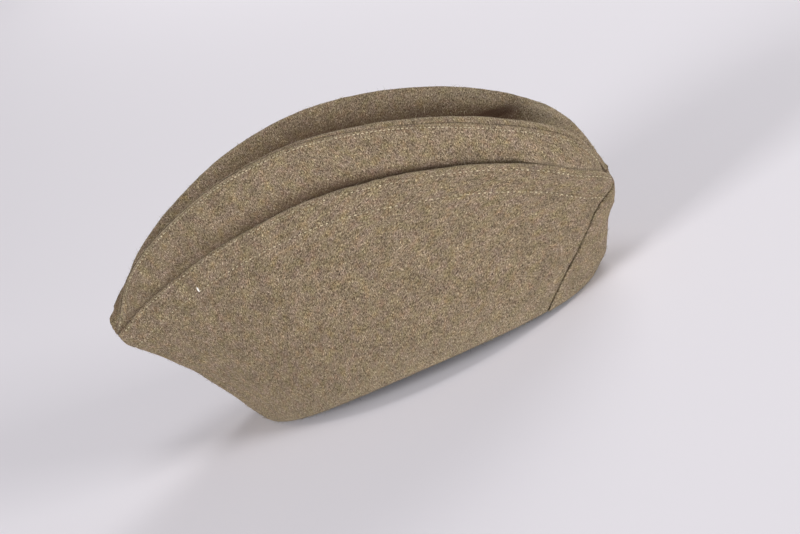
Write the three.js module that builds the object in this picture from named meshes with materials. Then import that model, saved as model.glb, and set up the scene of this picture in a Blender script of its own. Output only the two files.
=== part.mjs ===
// Field cap: a folding side cap of heavy wool melton, standing open on its rim.
// Millimetres. +X is the cap's front, +Y the wearer's left, +Z up. The origin is on the surface that
// the cap stands on, under the middle of its box.
//
// Every piece is measured from one envelope, the outer face of the right half of the cap:
//   around  0 at the centre back, 1 at the centre front, 2 back at the centre back by the left side
//   up      0 at the rim, 1 at the ridge of the crown
//   depth   distance from the envelope towards the head
import * as THREE from "three";

// Cloth
const crownCloth = 2.0; // one ply of melton
const curtainCloth = 3.6; // the curtain is folded double at its top edge
const foldNose = 1.0; // height of the rounding on that fold
const lapCloth = 1.6; // the curtain's right end, pressed thin where the left end covers it
const lapRise = 0.7; // the left end stands this far proud over the right one
const gap = 0.3; // between the ends of pieces that meet
const layerGap = 0.5; // between layers of cloth that lie on each other

// Rim: two half superovals that rest at the front and back and rise at the sides
const rim = {
  front: 107,
  rear: 101,
  halfWidth: 77,
  squareFront: 1.85,
  squareRear: 1.95,
  sideArch: 10,
  restShare: 0.2, // share of the half width, from the middle, that lies flat
};

// Ridge: the line where side and top meet, from the rear apex to the front one
const apex = { rear: -156, front: 133.5 };
const ridgeRows = [
  { around: 0.0, height: 79, halfGap: 0, valley: -5 },
  { around: 0.1, height: 88, halfGap: 6, valley: -4.5 },
  { around: 0.2, height: 110.5, halfGap: 14.5, valley: 5 },
  { around: 0.3, height: 127.5, halfGap: 22.5, valley: 21 },
  { around: 0.4, height: 139, halfGap: 28.5, valley: 30 },
  { around: 0.5, height: 142.5, halfGap: 32.5, valley: 34 },
  { around: 0.6, height: 135, halfGap: 34, valley: 32 },
  { around: 0.7, height: 119.5, halfGap: 31.5, valley: 26 },
  { around: 0.8, height: 100, halfGap: 24.5, valley: 17 },
  { around: 0.9, height: 78, halfGap: 14, valley: 6 },
  { around: 1.0, height: 51, halfGap: 0, valley: -1 },
];
const valleyPower = 1.7; // 1 is a V, larger is a flatter trough
const valleyDimple = { around: 0.79, across: 0.5, depth: 3.5, long: 0.035, wide: 0.22 };

// Gusset between the ridges: where it starts and ends, and over how much of its ends it swells
const gusset = { from: 0.048, to: 0.98, rounded: 0.05 };
const lip = 2.8; // the welt of the ridge seam, down the side panel
const crest = { wide: 1.2, rise: 0.1, drop: 0.4 }; // rounding of the welt's top edge

// Over the last `long` of their ends the side panels stop `drop` lower under the gusset's lip
const tips = { long: 0.1, drop: 2.1 };

// Curtain: top edge and how far it stands off the crown there
const edgeRows = [
  { around: 0.0, up: 0.968, standOff: 1.2 },
  { around: 0.1, up: 0.922, standOff: 2.6 },
  { around: 0.2, up: 0.838, standOff: 3.6 },
  { around: 0.3, up: 0.793, standOff: 3.4 },
  { around: 0.4, up: 0.77, standOff: 2.8 },
  { around: 0.5, up: 0.774, standOff: 2.4 },
  { around: 0.6, up: 0.78, standOff: 2.2 },
  { around: 0.7, up: 0.778, standOff: 2.0 },
  { around: 0.8, up: 0.765, standOff: 1.2 },
  { around: 0.9, up: 0.738, standOff: 0.6 },
  { around: 1.0, up: 0.9, standOff: 1.0 },
];

// Lap: where the left end of the curtain stops on the right side, from rim to top edge
const lapRows = [
  { share: 0.0, around: 0.76 },
  { share: 0.25, around: 0.834 },
  { share: 0.5, around: 0.893 },
  { share: 0.75, around: 0.958 },
  { share: 1.0, around: 1.045 },
];
const underlap = 0.05; // in units of around, about 12 mm
const lapSlack = 0.0015; // the smallest clearance at the lap, in the same units
const lapBlend = 0.125; // the left end sinks back to the envelope over this share of its length

// Fullness: how far the walls stand out of the straight line from rim to ridge
const sideFullness = 6;
const frontFullness = { out: 7.5, from: 0.65, skew: 1.2 }; // a skew above 1 raises the fullest height
const rearFullness = { out: 4, to: 0.3, up: 0.86, high: 0.16 };
const backDent = { around: 0.14, up: 0.3, depth: 4, wide: 0.07, high: 0.22 };
const levelRim = 0.12; // below this much of `up` cloth gains thickness level, so the rim stays flat

const cloth = { side: 0x8c7962, top: 0x84725b, rightCurtain: 0x8a7964, leftCurtain: 0x8d7c67 };

// Mesh density
const stations = 40;
const upSteps = 9;
const acrossSteps = 14;
const lapStations = 3;
const rightShare = 0.8; // the right curtain's share of the stations

const clamp = (v, low, high) => Math.min(high, Math.max(low, v));
const ease = (v) => {
  const q = clamp(v, 0, 1);
  return q * q * (3 - 2 * q);
};
const mix = (a, b, q) => a + (b - a) * q;
const bell = (v, middle, width) => Math.exp(-(((v - middle) / width) ** 2));

// Smooth curve through evenly spaced rows. Past both ends, where the two sides of the cap meet, the
// rows go on mirrored, or mirrored and turned over for a value that runs straight through the end.
function read(rows, column, at, turned = false) {
  const last = rows.length - 1;
  const f = clamp(at, 0, 1) * last;
  const i = Math.min(Math.floor(f), last - 1);
  const q = f - i;
  const value = (k) => {
    const inside = clamp(k, 0, last);
    const mirror = rows[2 * inside - k][column];
    return turned ? 2 * rows[inside][column] - mirror : mirror;
  };
  const [a, b, c, d] = [value(i - 1), value(i), value(i + 1), value(i + 2)];
  const linear = (c - a) * q;
  const square = (2 * a - 5 * b + 4 * c - d) * q * q;
  return b + 0.5 * (linear + square + (3 * b - a - 3 * c + d) * q * q * q);
}

function rimPoint(around) {
  const turn = Math.PI * (1 - around);
  const c = Math.cos(turn);
  const forward = c >= 0;
  const square = forward ? rim.squareFront : rim.squareRear;
  const reach = Math.abs(c) ** (2 / square) * (forward ? rim.front : -rim.rear);
  const out = Math.abs(Math.sin(turn)) ** (2 / square);
  const arch = Math.max(0, (out - rim.restShare) / (1 - rim.restShare));
  return new THREE.Vector3(reach, -rim.halfWidth * out, rim.sideArch * arch * arch);
}

function ridgePoint(around) {
  const share = (1 - Math.cos(Math.PI * around)) / 2;
  return new THREE.Vector3(
    mix(apex.rear, apex.front, share),
    -read(ridgeRows, "halfGap", around, true),
    read(ridgeRows, "height", around),
  );
}

// The envelope of the right half.
function envelope(around, up) {
  const point = rimPoint(around).lerp(ridgePoint(around), up);
  const full = 4 * up * (1 - up);
  point.y -= sideFullness * Math.sin(Math.PI * around) * full;
  const front = ease((around - frontFullness.from) / (1 - frontFullness.from));
  point.x += frontFullness.out * front * Math.sin(Math.PI * up ** frontFullness.skew);
  const back = ease(1 - around / rearFullness.to);
  point.x -= rearFullness.out * back * bell(up, rearFullness.up, rearFullness.high);
  return point;
}

const mirror = (point) => point.clone().setY(-point.y);

// The envelope all round: the left half is the right one mirrored.
function allRound(around, up) {
  const wrapped = around < 0 ? 2 + around : around > 2 ? around - 2 : around;
  const side = wrapped <= 1 ? wrapped : 2 - wrapped;
  const point = envelope(side, up);
  return wrapped > 1 ? mirror(point) : point;
}

function outward(around, up) {
  const step = 0.02;
  const along = allRound(around + step, up).sub(allRound(around - step, up));
  const rise = allRound(around, clamp(up + step, 0, 1)).sub(
    allRound(around, clamp(up - step, 0, 1)),
  );
  return along.cross(rise).normalize();
}

// A point `depth` mm inside the envelope; the rim keeps its height, so it stays flat where it rests.
function place(around, up, depth) {
  const point = allRound(around, up);
  const normal = outward(around, up);
  const flat = ease(1 - up / levelRim);
  const level = new THREE.Vector3(normal.x, normal.y, 0).normalize();
  const dent = backDent.depth * bell(around, backDent.around, backDent.wide) *
    bell(up, backDent.up, backDent.high);
  return point.addScaledVector(normal.lerp(level, flat).normalize(), -depth - dent);
}

// Closed mesh through sections that are closed loops with the same number of points.
function loft(name, sections, colour) {
  const count = sections[0].length;
  const points = sections.flat();
  const position = points.flatMap((p) => [p.x, p.y, p.z]);
  const index = [];
  for (let s = 0; s + 1 < sections.length; s += 1) {
    for (let i = 0; i < count; i += 1) {
      const j = (i + 1) % count;
      const [a, b] = [s * count + i, s * count + j];
      const [c, d] = [a + count, b + count];
      // each four-sided patch is split along its shorter diagonal
      if (points[a].distanceTo(points[d]) < points[b].distanceTo(points[c])) {
        index.push(a, d, b, a, c, d);
      } else {
        index.push(a, c, b, b, c, d);
      }
    }
  }
  // Each loop runs out along one face and back along the other, so an end is a strip between them.
  const cap = (first, flip) => {
    for (let i = 0; i + 1 < count / 2; i += 1) {
      const [a, b] = [first + i, first + i + 1];
      const [c, d] = [first + count - 1 - i, first + count - 2 - i];
      if (flip) index.push(a, b, c, b, d, c);
      else index.push(a, c, b, b, c, d);
    }
  };
  cap(0, true);
  cap((sections.length - 1) * count, false);
  const geometry = new THREE.BufferGeometry();
  geometry.setAttribute("position", new THREE.Float32BufferAttribute(position, 3));
  geometry.setIndex(index);
  const material = new THREE.MeshStandardMaterial({ color: colour, roughness: 0.95, metalness: 0 });
  const mesh = new THREE.Mesh(geometry, material);
  mesh.name = name;
  return mesh;
}

const steps = (n) => Array.from({ length: n + 1 }, (_, i) => i / n);

// Keeps a piece of one side off the middle plane, where it meets its fellow.
function keepOff(point, left) {
  point.y = left ? Math.max(point.y, gap / 2) : Math.min(point.y, -gap / 2);
  return point;
}

// Crown side: rim to ridge seam, under the curtain and then in sight above it.
function crownSide(name, left, colour) {
  const sections = steps(stations).map((q) => {
    const around = left ? 2 - q : q;
    const edge = read(edgeRows, "up", q);
    const standOff = read(edgeRows, "standOff", q);
    const height = ridgePoint(q).distanceTo(rimPoint(q));
    const end = ease(1 - Math.min(q, 1 - q) / tips.long);
    const top = 1 - (lip + layerGap + tips.drop * end) / height;
    const depthAt = (up) => {
      const lean = curtainCloth + layerGap + standOff * ease(up / edge);
      return up < edge ? lean : (lean * (1 - up)) / (1 - edge);
    };
    const face = (extra) => steps(upSteps).map((f) => {
      const up = f * top;
      return keepOff(place(around, up, depthAt(up) + extra), left);
    });
    const [outer, inner] = [face(0), face(crownCloth)];
    return [...outer, ...inner.reverse()];
  });
  return loft(name, left ? sections.reverse() : sections, colour);
}

// Crown top: a gusset between the two ridges, sunk as a valley, with the seam's welt down both sides.
function crownTop(name, colour) {
  const sections = steps(stations).map((q) => {
    const around = mix(gusset.from, gusset.to, q);
    const middle = ridgePoint(around);
    const halfGap = -middle.y;
    const ahead = ridgePoint(around + 0.01).sub(ridgePoint(around - 0.01));
    const above = new THREE.Vector3(-ahead.z, 0, ahead.x).normalize();
    const swell = ease((around - gusset.from + 0.01) / gusset.rounded);
    const valley = read(ridgeRows, "valley", around) * swell;
    const height = middle.distanceTo(rimPoint(around));
    middle.setY(0);
    const at = (y, w) => middle.clone().addScaledVector(above, w).setY(y);
    const dimple = valleyDimple.depth * bell(around, valleyDimple.around, valleyDimple.long);
    const low = (y) => {
      const across = y / (halfGap - crest.wide);
      const trough = 1 - Math.abs(across) ** valleyPower;
      return -valley * trough - dimple * bell(across, valleyDimple.across, valleyDimple.wide);
    };
    const slope = (y) => (low(y + 0.05) - low(y - 0.05)) / 0.1;
    const ys = steps(acrossSteps).map((f) => (2 * f - 1) * (halfGap - crest.wide));
    const outerLip = place(around, 1 - lip / height, 0);
    const bothSides = (y, w) => [at(-y, w), at(y, w)];
    const [crestRight, crestLeft] = bothSides(halfGap, -crest.drop);
    const [topRight, topLeft] = bothSides(halfGap - crest.wide / 2, crest.rise);
    const [lipRight, lipLeft] = bothSides(halfGap - crest.wide - crest.drop, -lip);
    const trough = ys.map((y) => at(y, low(y)));
    const belly = steps(acrossSteps).map((f) => {
      const y = (2 * f - 1) * (halfGap - crownCloth);
      const upright = crownCloth * Math.hypot(1, slope(y));
      return at(y, Math.min(low(y) - upright, -lip));
    });
    const upper = [crestRight, topRight, ...trough, topLeft, crestLeft];
    const under = [outerLip, lipRight, ...belly, lipLeft, mirror(outerLip)];
    return [...upper, ...under.reverse()];
  });
  return loft(name, sections, colour);
}

// Curtain: turned up from the rim, double, its top edge a fold.
function curtain(name, columns, colour) {
  const sections = columns.map(({ around, outer, inner }) => {
    const point = (f, depth, rise = 0) => {
      const at = around(f);
      const side = at > 1 ? 2 - at : at;
      const edge = read(edgeRows, "up", side);
      const height = ridgePoint(side).distanceTo(rimPoint(side));
      const placed = place(at, f * (edge - foldNose / height) + rise / height, depth);
      const rear = at < 0.1 || at > 1.9;
      return rear ? keepOff(placed, at > 1) : placed;
    };
    const rows = steps(upSteps);
    const round = [0.25, 0.75].map((q) => point(1, mix(outer, inner, q), foldNose));
    return [
      ...rows.map((f) => point(f, outer)),
      ...round,
      ...rows.map((f) => point(f, inner)).reverse(),
    ];
  });
  return loft(name, sections, colour);
}

const lapAt = (f) => read(lapRows, "around", f, true);

// The right end is pressed thin under the lap.
function curtainRight(name, colour) {
  const full = steps(stations * rightShare).map((q) => ({
    around: (f) => mix(0, lapAt(f), q),
    outer: 0,
    inner: curtainCloth,
  }));
  const thin = steps(lapStations).map((q) => ({
    around: (f) => lapAt(f) + mix(lapSlack, underlap, q),
    outer: curtainCloth - lapCloth,
    inner: curtainCloth,
  }));
  return curtain(name, [...full, ...thin], colour);
}

// The left end lies over the right one, thin too, and stands a little proud of it.
function curtainLeft(name, colour) {
  const thin = steps(lapStations).map((q) => ({
    around: (f) => lapAt(f) + mix(2 * lapSlack, underlap + 3 * lapSlack, q),
    outer: -lapRise,
    inner: curtainCloth - lapCloth - layerGap,
  }));
  const full = steps(stations).map((q) => ({
    around: (f) => mix(lapAt(f) + underlap + 6 * lapSlack, 2, q),
    outer: mix(-lapRise, 0, ease(q / lapBlend)),
    inner: curtainCloth,
  }));
  return curtain(name, [...thin, ...full], colour);
}

const fieldCap = new THREE.Group();
fieldCap.add(
  crownSide("crown_side_right", false, cloth.side),
  crownSide("crown_side_left", true, cloth.side),
  crownTop("crown_top", cloth.top),
  curtainRight("curtain_right", cloth.rightCurtain),
  curtainLeft("curtain_left", cloth.leftCurtain),
);

// The origin goes under the middle of the cap's box.
const box = new THREE.Box3().setFromObject(fieldCap);
fieldCap.position.x = -(box.min.x + box.max.x) / 2;

export default fieldCap;
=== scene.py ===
import math

import bpy
import numpy as np
from mathutils import Matrix, Vector
from mathutils.bvhtree import BVHTree


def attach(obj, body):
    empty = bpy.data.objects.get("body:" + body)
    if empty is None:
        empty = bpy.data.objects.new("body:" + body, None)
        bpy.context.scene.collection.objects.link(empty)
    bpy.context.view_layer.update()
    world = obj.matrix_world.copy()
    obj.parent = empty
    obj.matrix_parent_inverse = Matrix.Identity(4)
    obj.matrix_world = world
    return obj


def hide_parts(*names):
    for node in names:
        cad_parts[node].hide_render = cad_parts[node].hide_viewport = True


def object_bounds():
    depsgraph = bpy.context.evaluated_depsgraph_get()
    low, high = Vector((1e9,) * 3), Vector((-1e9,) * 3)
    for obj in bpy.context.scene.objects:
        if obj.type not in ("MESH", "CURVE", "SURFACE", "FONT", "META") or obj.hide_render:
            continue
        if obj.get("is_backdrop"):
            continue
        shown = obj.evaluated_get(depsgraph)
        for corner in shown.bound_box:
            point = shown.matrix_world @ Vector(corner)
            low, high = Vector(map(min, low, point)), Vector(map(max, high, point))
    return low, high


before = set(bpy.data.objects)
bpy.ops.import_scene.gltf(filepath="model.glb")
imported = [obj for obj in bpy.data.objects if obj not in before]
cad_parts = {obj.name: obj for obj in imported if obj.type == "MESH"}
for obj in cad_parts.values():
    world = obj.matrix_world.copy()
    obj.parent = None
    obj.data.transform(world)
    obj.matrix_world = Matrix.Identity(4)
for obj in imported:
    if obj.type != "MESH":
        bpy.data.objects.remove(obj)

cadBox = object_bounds()
mm = 0.001  # the sizes below are millimetres, the scene is in metres


# The cap's form: the same envelope that the solids are measured from.

rim = {
    "front": 107.0,
    "rear": 101.0,
    "halfWidth": 77.0,
    "squareFront": 1.85,
    "squareRear": 1.95,
    "sideArch": 10.0,
    "restShare": 0.2,
}
apex = {"rear": -156.0, "front": 133.5}
# evenly spaced from the back to the front
ridgeRows = {
    "height": [79.0, 88.0, 110.5, 127.5, 139.6, 142.6, 134.4, 119.1, 99.7, 78.0, 51.0],
    "halfGap": [0.0, 6.0, 14.5, 22.5, 30.4, 33.6, 34.9, 32.0, 26.0, 14.0, 0.0],
    "valley": [-5.0, -4.5, 5.0, 21.0, 30.0, 34.0, 32.0, 26.0, 17.0, 6.0, -1.0],
}
edgeRows = {
    "up": [0.968, 0.922, 0.838, 0.793, 0.77, 0.774, 0.78, 0.778, 0.765, 0.738, 0.9],
    "standOff": [1.2, 2.6, 3.6, 3.4, 2.8, 2.4, 2.2, 2.0, 1.2, 0.6, 1.0],
}
# evenly spaced from the rim to the curtain's top
lapRows = {"around": [0.76, 0.834, 0.893, 0.958, 1.045]}
fullness = {
    "side": 6.0,
    "front": 7.5,
    "frontFrom": 0.65,
    "frontSkew": 1.2,
    "rear": 4.0,
    "rearTo": 0.3,
    "rearUp": 0.86,
    "rearHigh": 0.16,
}
backDent = {"around": 0.14, "up": 0.3, "depth": 4.0, "wide": 0.07, "high": 0.22}
contour = [  # where the worn curtain is drawn in (+) or full (-), at the front fold and the back seam
    {"around": 1.0, "wide": 0.09, "up": 0.43, "high": 0.13, "depth": 2.4},
    {"around": 1.0, "wide": 0.09, "up": 0.13, "high": 0.09, "depth": -1.7},
    {"around": 1.0, "wide": 0.07, "up": 0.8, "high": 0.08, "depth": -0.8},
    {"around": 0.0, "wide": 0.12, "up": 0.89, "high": 0.08, "depth": -1.7},
    {"around": 0.0, "wide": 0.12, "up": 0.47, "high": 0.1, "depth": 1.0},
    {"around": 0.0, "wide": 0.12, "up": 0.1, "high": 0.08, "depth": -0.9},
]
levelRim = 0.12  # below this much of `up` thickness is gained level, so the rim stays flat


def ease(v):
    q = np.clip(v, 0.0, 1.0)
    return q * q * (3 - 2 * q)


def mix(a, b, q):
    return a + (b - a) * q


def bell(v, middle, width):
    return np.exp(-(((v - middle) / width) ** 2))


def unit(v):
    return v / np.maximum(np.linalg.norm(v, axis=-1, keepdims=True), 1e-9)


def readRows(rows, column, at, turned=False):
    # smooth curve through evenly spaced values, mirrored (or turned over) past both ends
    values = np.array(rows[column])
    before = 2 * values[0] - values[1] if turned else values[1]
    after = 2 * values[-1] - values[-2] if turned else values[-2]
    knots = np.concatenate([[before], values, [after]])
    f = np.clip(at, 0.0, 1.0) * (len(values) - 1)
    i = np.minimum(f.astype(int), len(values) - 2)
    q = f - i
    a, b, c, d = (knots[i + k] for k in range(4))
    return b + 0.5 * ((c - a) * q + (2 * a - 5 * b + 4 * c - d) * q**2 + (3 * b - a - 3 * c + d) * q**3)


def rimPoint(side):
    turn = math.pi * (1 - side)
    c = np.cos(turn)
    square = np.where(c >= 0, rim["squareFront"], rim["squareRear"])
    reach = np.abs(c) ** (2 / square) * np.where(c >= 0, rim["front"], -rim["rear"])
    out = np.abs(np.sin(turn)) ** (2 / square)
    arch = np.maximum(0.0, (out - rim["restShare"]) / (1 - rim["restShare"]))
    return np.stack([reach, -rim["halfWidth"] * out, rim["sideArch"] * arch**2], -1)


def ridgePoint(side):
    reach = mix(apex["rear"], apex["front"], (1 - np.cos(math.pi * side)) / 2)
    across = -readRows(ridgeRows, "halfGap", side, turned=True)
    return np.stack([reach, across, readRows(ridgeRows, "height", side)], -1)


def wallHeight(side):
    return np.linalg.norm(ridgePoint(side) - rimPoint(side), axis=-1)


def sideOf(around):
    wrapped = np.mod(around, 2.0)
    return np.minimum(wrapped, 2.0 - wrapped)


def wallAt(around):
    return wallHeight(sideOf(around))


def envelope(around, up):
    # around: 0 centre back, 1 centre front, 2 back again by the left; up: 0 rim, 1 ridge
    side = sideOf(around)
    point = rimPoint(side) + (ridgePoint(side) - rimPoint(side)) * up[..., None]
    point[..., 1] -= fullness["side"] * np.sin(math.pi * side) * 4 * up * (1 - up)
    front = ease((side - fullness["frontFrom"]) / (1 - fullness["frontFrom"]))
    raised = np.clip(up, 0, 1) ** fullness["frontSkew"]
    point[..., 0] += fullness["front"] * front * np.sin(math.pi * raised)
    back = ease(1 - side / fullness["rearTo"])
    point[..., 0] -= fullness["rear"] * back * bell(up, fullness["rearUp"], fullness["rearHigh"])
    point[..., 1] *= np.where(np.mod(around, 2.0) > 1, -1.0, 1.0)
    return point


def outward(around, up, step=0.02):
    along = envelope(around + step, up) - envelope(around - step, up)
    rise = envelope(around, np.minimum(up + step, 1)) - envelope(around, np.maximum(up - step, 0))
    return unit(np.cross(along, rise))


def place(around, up, depth):
    # a point `depth` inside the envelope
    around, up, depth = np.broadcast_arrays(around, up, depth)
    normal = outward(around, up)
    level = unit(normal * np.array([1.0, 1.0, 0.0]))
    flat = ease(1 - up / levelRim)[..., None]
    dent = backDent["depth"] * bell(around, backDent["around"], backDent["wide"])
    dent = dent * bell(up, backDent["up"], backDent["high"])
    for spot in contour:
        near = bell(sideOf(around), spot["around"], spot["wide"]) * bell(up, spot["up"], spot["high"])
        dent = dent + spot["depth"] * near
    return envelope(around, up) - unit(mix(normal, level, flat)) * (depth + dent)[..., None]


# the solids put the cap's middle on the origin: the rim's front gives how far that moved it
frontVertices = [v.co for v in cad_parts["curtain_left"].data.vertices]
rimFront = max(co.x for co in frontVertices if co.z < 0.5 * mm)
shift = np.array([rimFront - rim["front"] * mm, 0.0, 0.0])


def toScene(points):
    return points * mm + shift


def addObject(name, data):
    piece = bpy.data.objects.new(name, data)
    bpy.context.scene.collection.objects.link(piece)
    return piece


def finishedMesh(piece):
    # what an object's modifiers or bevel make of it, as a plain mesh
    graph = bpy.context.evaluated_depsgraph_get()
    return bpy.data.meshes.new_from_object(piece.evaluated_get(graph), depsgraph=graph)


def softNoise(u, v, size, seed):
    # smooth random field over the cloth, about -1 to 1, with features of `size` mm
    rng = np.random.default_rng(seed)
    table = rng.uniform(-1, 1, (256, 256))
    x, y = u / size, v / size
    i, j = np.floor(x).astype(int), np.floor(y).astype(int)
    p, q = ease(x - i), ease(y - j)
    corner = lambda a, b: table[(i + a) % 256, (j + b) % 256]
    return mix(mix(corner(0, 0), corner(1, 0), p), mix(corner(0, 1), corner(1, 1), p), q)


def layeredNoise(u, v, layers, seed):
    return sum(height * softNoise(u, v, size, seed + k) for k, (height, size) in enumerate(layers))


def arcLength(points):
    steps = np.linalg.norm(np.diff(points, axis=0), axis=-1)
    return np.concatenate([[0.0], np.cumsum(steps)])


def loopMesh(name, grid, along, layers):
    # grid: rows x columns x 3, each column a closed section; along: the cloth's length at each column
    rows, columns = grid.shape[:2]
    index = np.arange(rows * columns).reshape(rows, columns)
    turned = np.roll(index, -1, axis=0)
    quads = np.stack([index[:, :-1], index[:, 1:], turned[:, 1:], turned[:, :-1]], -1).reshape(-1, 4)
    faces = quads.tolist() + [index[::-1, -1].tolist(), index[:, 0].tolist()]
    points = toScene(grid.reshape(-1, 3))
    a, b, c, d = (points[quads[:, k]] for k in range(4))
    volume = (a * (np.cross(b, c) + np.cross(c, d))).sum()
    if volume < 0:
        faces = [face[::-1] for face in faces]
    mesh = bpy.data.meshes.new(name)
    mesh.from_pydata(points.tolist(), [], faces)
    mesh.update()

    around = np.linalg.norm(np.diff(np.concatenate([grid, grid[:1]]), axis=0), axis=-1)
    # one row more than the grid has, for the map's seam
    height = np.concatenate([np.zeros((1, columns)), np.cumsum(around, axis=0)])
    corners = np.empty(len(mesh.loops), int)
    mesh.loops.foreach_get("vertex_index", corners)
    row, column = corners // columns, corners % columns
    rowOfQuad = row[: len(quads) * 4].reshape(-1, 4)
    wraps = (rowOfQuad.max(1) == rows - 1) & (rowOfQuad.min(1) == 0)
    rowOfQuad[wraps[:, None] & (rowOfQuad == 0)] = rows
    row[: len(quads) * 4] = rowOfQuad.ravel()
    uv = np.stack([along[column], height[row, column] - height[rows // 2, column]], -1) * mm
    mesh.uv_layers.new(name="clothMap").data.foreach_set("uv", uv.astype(np.float32).ravel())
    for layer, values in layers.items():
        shared = np.broadcast_to(values, (rows, columns)).astype(np.float32).ravel()
        mesh.attributes.new(layer, "FLOAT", "POINT").data.foreach_set("value", shared)
    mesh.polygons.foreach_set("use_smooth", np.ones(len(mesh.polygons), bool))
    print(f"{name}: {len(mesh.polygons)} faces")
    return addObject(name, mesh)


def profile(radius, close, step, coarse, inside, bends=6):
    # a wall's section as rows (a, b, c): height above the rim is a * top + b, and c runs from the
    # outer face (0) to the inner one (1); rows lie `step` apart over the `close` mm under the top
    near = np.arange(radius, close, step)[::-1]
    far = np.linspace(0, 1, coarse, endpoint=False)
    turn = np.linspace(0, math.pi, bends + 2)[1:-1]
    rows = [(q, radius * (1 - q) - close * q, 0.0) for q in far]
    rows += [(1.0, -d, 0.0) for d in near]
    rows += [(1.0, -radius * (1 - math.sin(t)), (1 - math.cos(t)) / 2) for t in turn]
    rows += [(q, radius * (1 - 2 * q), 1.0) for q in np.linspace(1, 0, inside)]
    rows += [(0.0, radius * (1 - math.sin(t)), (1 + math.cos(t)) / 2) for t in turn]
    return [np.array(column)[:, None] for column in zip(*rows)]


def spread(length, spacing, pack=0.0):
    # column places from 0 to 1, `spacing` mm apart, with close ones over the first `pack` mm
    even = np.linspace(pack, length, int(length / spacing))
    close = pack * (1 - np.cos(np.linspace(0, math.pi / 2, 7)[:-1]))
    return (np.concatenate([close, even]) if pack else even) / length


# waves as (height, size): how cloth, a pressed fold, the lap line and the valley's floor depart from fair
waves = {
    "cloth": [(0.5, 42.0), (0.28, 19.0), (0.09, 7.0), (0.05, 2.6)],
    "fold": [(0.2, 2.1), (0.25, 7.0)],
    "lap": [(0.001, 3.1), (0.0012, 11.0)],
    "valley": [(1.3, 36.0), (0.7, 15.0)],
}

# the fold along the curtain's top has worked up towards the back
wornEdge = [{"side": 0.365, "wide": 0.148, "lift": 2.9}, {"side": 0.7, "wide": 0.07, "lift": 0.4}]


def edgeUp(side):
    lift = sum(spot["lift"] * bell(side, spot["side"], spot["wide"]) for spot in wornEdge)
    return readRows(edgeRows, "up", side) + lift / wallHeight(side)


def topOf(around):
    return edgeUp(sideOf(around)) * wallAt(around)


def lapAt(share):
    line = share * 100
    wander = layeredNoise(line, 0 * line, waves["lap"], 91)
    return readRows(lapRows, "around", share, turned=True) + wander


# Stitching: each row's line below the edge and its pitch, and how the cloth gives under it
stitching = {
    "ridge": {
        "below": [(0.0, 5.2), (0.1, 4.6), (0.2, 2.4), (0.4, 2.2), (0.6, 3.8), (0.75, 6.4)],
        "pitch": 2.4,
        "pull": 0.9,
    },
    "edge": {"below": [(0.1, 2.0), (0.35, 2.2), (0.6, 3.8)], "pitch": 3.1, "pull": 0.8},
    "hem": {"below": [(0.1, 13.0), (0.6, 16.0)], "pitch": 3.2, "pull": 0.6},
    "channel": 0.34,
    "roll": 0.3,
    "hole": 0.3,
}


def belowAt(table, around):
    # a line's distance under the edge, given at a few places from the back (0) to the front (1)
    return np.interp(sideOf(around), *zip(*table))


def noDepth(around, up):
    return 0 * around


def stitchLine(around, row, topAt, depthAt):
    # cloth length along a stitch line, as a table to look up by `around`
    up = (topAt(around) - belowAt(row["below"], around)) / wallAt(around)
    return arcLength(place(around, up, depthAt(around, up)))


def stitchStep(row, length):
    return float(length.max()) / max(1, round(float(length.max()) / row["pitch"]))


def stitchRelief(around, below, row, length, whole):
    # the channel that a row of stitches pulls into the cloth, its holes, and the small puckers across it
    phase = length / stitchStep(row, whole)
    hole = bell(np.mod(phase, 1.0), 0.5, 0.16)
    off = below - belowAt(row["below"], around)
    dip = stitching["channel"] * bell(off, 0.0, 0.95)
    pucker = 0.1 * np.cos(2 * math.pi * phase) * bell(off, 0.0, 2.0)
    return row["pull"] * (pucker - dip - stitching["hole"] * hole * bell(off, 0.0, 0.45))


backGap = 0.05  # each side's cloth stays at least this far from the middle plane
curtain = {
    "cloth": 3.6,
    "lapCloth": 1.6,
    "lapRise": 0.7,
    "layerGap": 0.5,
    "underlap": 0.05,
    "lapGap": 0.0016,
    "lapBlend": 0.125,
    "lapSink": 1.7,
    "seam": {"depth": 0.9, "wide": 1.1},
    "close": 22.0,
    "step": 0.64,
    "spacing": 0.74,
    "perAround": 255.0,  # about how much cloth one unit of `around` takes
    "rightLength": 240.0,
    "leftLength": 300.0,
    "rightCount": 325.0,  # length that the columns are counted over
    "leftCount": 410.0,
    "endRound": 1.1,
}


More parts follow.
